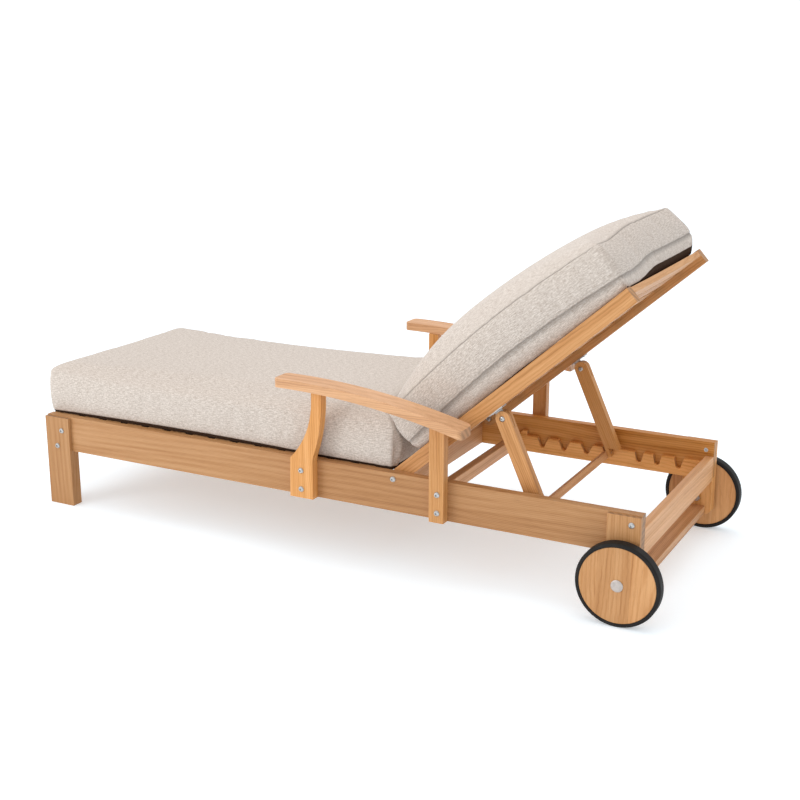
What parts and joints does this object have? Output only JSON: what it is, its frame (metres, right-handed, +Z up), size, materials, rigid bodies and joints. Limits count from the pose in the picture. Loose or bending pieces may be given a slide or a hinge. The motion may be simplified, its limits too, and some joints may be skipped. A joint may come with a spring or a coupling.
{
  "type": "reclining sun lounger",
  "caption": "Wheeled wooden garden lounger with fixed armrests, an adjustable backrest held by a swinging prop over notched racks, and thick seat and back cushions.",
  "frame": {"origin": "on the ground under the middle of the lounger, at the bottom centre of its box", "axes": "+X along the lounger from the foot end to the wheels at the head end, +Y across it to the side called right here, +Z up"},
  "size_m": [2.0746, 0.884, 0.9982],
  "materials": {
    "teak": "matte",
    "teak_pale": "matte",
    "stainless_steel": "satin",
    "tyre": "matte",
    "cushion_cloth": "matte"
  },
  "bodies": {
    "frame": {"side_rail_left": "teak", "side_rail_right": "teak", "foot_leg_left": "teak", "foot_leg_right": "teak", "wheel_leg_left": "teak", "wheel_leg_right": "teak", "foot_rail": "teak", "head_rail": "teak", "wheel_stretcher": "teak", "seat_end_rail": "teak", "rack_end_rail": "teak", "seat_ledger_left": "teak", "seat_ledger_right": "teak", "seat_slat_set": "teak_pale", "rack_left": "teak", "rack_right": "teak", "arm_front_post_left": "teak", "arm_front_post_right": "teak", "arm_rear_post_left": "teak", "arm_rear_post_right": "teak", "armrest_left": "teak_pale", "armrest_right": "teak_pale", "leg_bolts": "stainless_steel", "post_bolts": "stainless_steel", "back_pivot_bolts": "stainless_steel", "axle_bolt_left": "stainless_steel", "axle_bolt_right": "stainless_steel", "axle_spacers": "stainless_steel", "axle_nuts": "stainless_steel", "seat_cushion": "cushion_cloth"},
    "backrest": {"back_stile_left": "teak_pale", "back_stile_right": "teak_pale", "back_slat_set": "teak_pale", "crest_rail": "teak_pale", "hinge_plate_left": "stainless_steel", "hinge_plate_right": "stainless_steel", "hinge_screws": "stainless_steel", "prop_pivot_bolts": "stainless_steel", "back_cushion": "cushion_cloth"},
    "prop": {"prop_arm_left": "teak", "prop_arm_right": "teak", "prop_bar": "teak", "prop_bar_screws": "stainless_steel"},
    "wheel_left": {"wheel_disc_left": "teak_pale", "tyre_left": "tyre", "hub_bush_left": "stainless_steel", "hub_cap_left": "stainless_steel"},
    "wheel_right": {"wheel_disc_right": "teak_pale", "tyre_right": "tyre", "hub_bush_right": "stainless_steel", "hub_cap_right": "stainless_steel"}
  },
  "joints": [
    {"name": "back_recline", "type": "hinge", "parent": "frame", "child": "backrest", "pos_m": [0.23125, 0, 0.281], "axis": [0, -1, 0], "range_deg": [-41.5, 8]},
    {"name": "prop_swing", "type": "hinge", "parent": "backrest", "child": "prop", "pos_m": [0.54224, 0, 0.48938], "axis": [0, -1, 0], "range_deg": [-20.77, 107.3]},
    {"name": "wheel_left_spin", "type": "hinge", "parent": "frame", "child": "wheel_left", "pos_m": [0.92025, -0.4035, 0.117], "axis": [0, 1, 0], "continuous": true},
    {"name": "wheel_right_spin", "type": "hinge", "parent": "frame", "child": "wheel_right", "pos_m": [0.92025, 0.4035, 0.117], "axis": [0, 1, 0], "continuous": true}
  ],
  "couplings": [
    {"joint": "prop_swing", "follows": "back_recline", "ratio": -2.5831}
  ]
}
